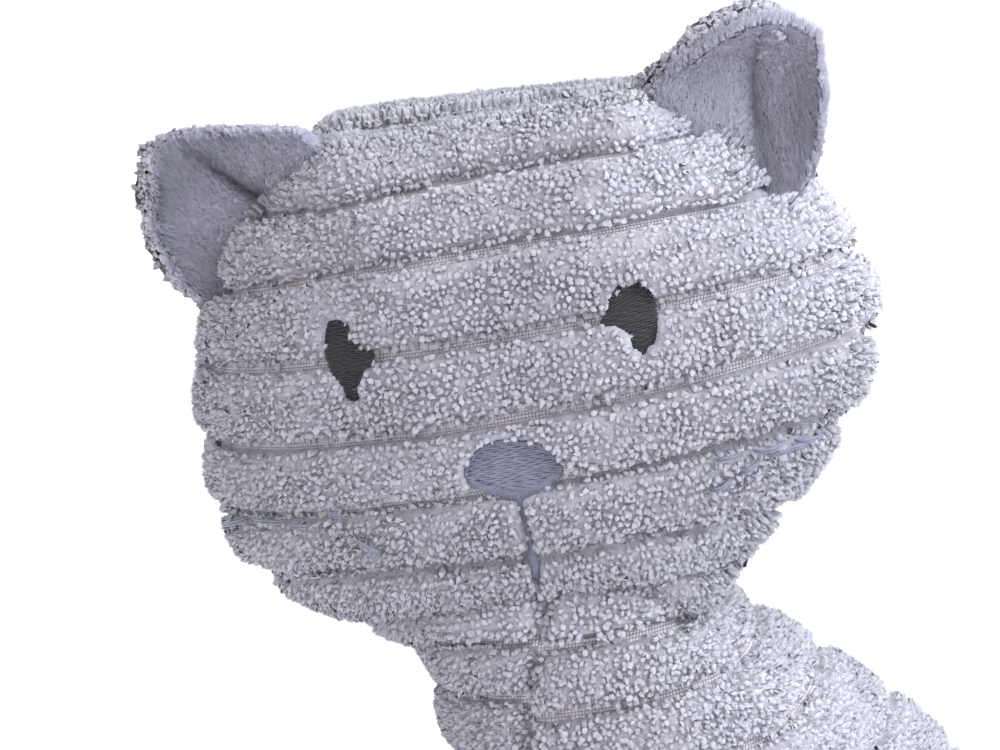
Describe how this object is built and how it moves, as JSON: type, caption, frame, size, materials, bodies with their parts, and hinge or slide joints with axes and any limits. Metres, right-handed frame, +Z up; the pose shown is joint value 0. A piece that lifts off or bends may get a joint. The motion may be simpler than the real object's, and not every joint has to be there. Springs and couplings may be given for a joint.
{
  "type": "plush cat",
  "caption": "Sitting plush cat in wide-wale silver-grey chenille plush with a broad turned head, velour-lined ears, embroidered face, stuffed legs and tail.",
  "frame": {"origin": "on the flat base, straight under the neck", "axes": "+Z up, the body faces -Y, the cat's left is +X"},
  "size_m": [0.1505, 0.2085, 0.233],
  "materials": {
    "plush": "wide-wale chenille pile on a plain-weave ground",
    "ear_velour": "short brushed velour",
    "dark_thread": "embroidery thread, soft sheen",
    "grey_thread": "embroidery thread, soft sheen",
    "filling": "loose polyester fibre",
    "pellets": "woven bag of plastic pellets",
    "tag": "satin ribbon, blank"
  },
  "bodies": {
    "torso": {"torso_left_panel": "plush", "torso_right_panel": "plush", "base_panel": "plush", "torso_stuffing": "filling", "pellet_bag": "pellets", "care_tag": "tag"},
    "neck": {"neck_stuffing": "filling"},
    "head": {"head_front_panel": "plush", "head_back_panel": "plush", "head_stuffing": "filling", "left_eye": "dark_thread", "right_eye": "dark_thread", "nose": "grey_thread", "mouth_stitching": "grey_thread", "left_whiskers": "grey_thread", "right_whiskers": "grey_thread"},
    "left_ear": {"left_ear_back": "plush", "left_ear_lining": "ear_velour"},
    "right_ear": {"right_ear_back": "plush", "right_ear_lining": "ear_velour"},
    "left_foreleg": {"left_foreleg_skin": "plush", "left_foreleg_stuffing": "filling"},
    "right_foreleg": {"right_foreleg_skin": "plush", "right_foreleg_stuffing": "filling"},
    "left_hind_leg": {"left_hind_leg_skin": "plush", "left_hind_leg_stuffing": "filling"},
    "right_hind_leg": {"right_hind_leg_skin": "plush", "right_hind_leg_stuffing": "filling"},
    "tail": {"tail_skin": "plush", "tail_stuffing": "filling"}
  },
  "joints": [
    {"name": "neck_turn", "type": "hinge", "parent": "torso", "child": "neck", "pos_m": [0, 0, 0.146], "axis": [0, 0, 1], "range_deg": [-60, 20], "stiffness_Nm_per_rad": 0.35},
    {"name": "head_nod", "type": "hinge", "parent": "neck", "child": "head", "pos_m": [0, 0, 0.16], "axis": [0.7314, 0.682, 0], "range_deg": [-15, 15], "stiffness_Nm_per_rad": 0.6},
    {"name": "left_ear_flop", "type": "hinge", "parent": "head", "child": "left_ear", "pos_m": [0.02791, 0.01919, 0.2176], "axis": [0.6291, 0.5866, -0.5101], "range_deg": [-30, 30], "stiffness_Nm_per_rad": 0.02},
    {"name": "right_ear_flop", "type": "hinge", "parent": "head", "child": "right_ear", "pos_m": [-0.02109, -0.0265, 0.2176], "axis": [0.6291, 0.5866, 0.5101], "range_deg": [-30, 30], "stiffness_Nm_per_rad": 0.02},
    {"name": "left_foreleg_swing", "type": "hinge", "parent": "torso", "child": "left_foreleg", "pos_m": [0.0175, -0.04, 0.08], "axis": [-1, 0, 0], "range_deg": [0, 40], "stiffness_Nm_per_rad": 0.15},
    {"name": "right_foreleg_swing", "type": "hinge", "parent": "torso", "child": "right_foreleg", "pos_m": [-0.0175, -0.04, 0.08], "axis": [-1, 0, 0], "range_deg": [0, 40], "stiffness_Nm_per_rad": 0.15},
    {"name": "left_hind_leg_swing", "type": "hinge", "parent": "torso", "child": "left_hind_leg", "pos_m": [0.0384, 0.055, 0.027], "axis": [-1, 0, 0], "range_deg": [0, 25], "stiffness_Nm_per_rad": 0.25},
    {"name": "right_hind_leg_swing", "type": "hinge", "parent": "torso", "child": "right_hind_leg", "pos_m": [-0.0384, 0.055, 0.027], "axis": [-1, 0, 0], "range_deg": [0, 25], "stiffness_Nm_per_rad": 0.25},
    {"name": "tail_swing", "type": "hinge", "parent": "torso", "child": "tail", "pos_m": [0, 0.103, 0.01], "axis": [0, 0, 1], "range_deg": [-4, 22], "stiffness_Nm_per_rad": 0.1}
  ]
}
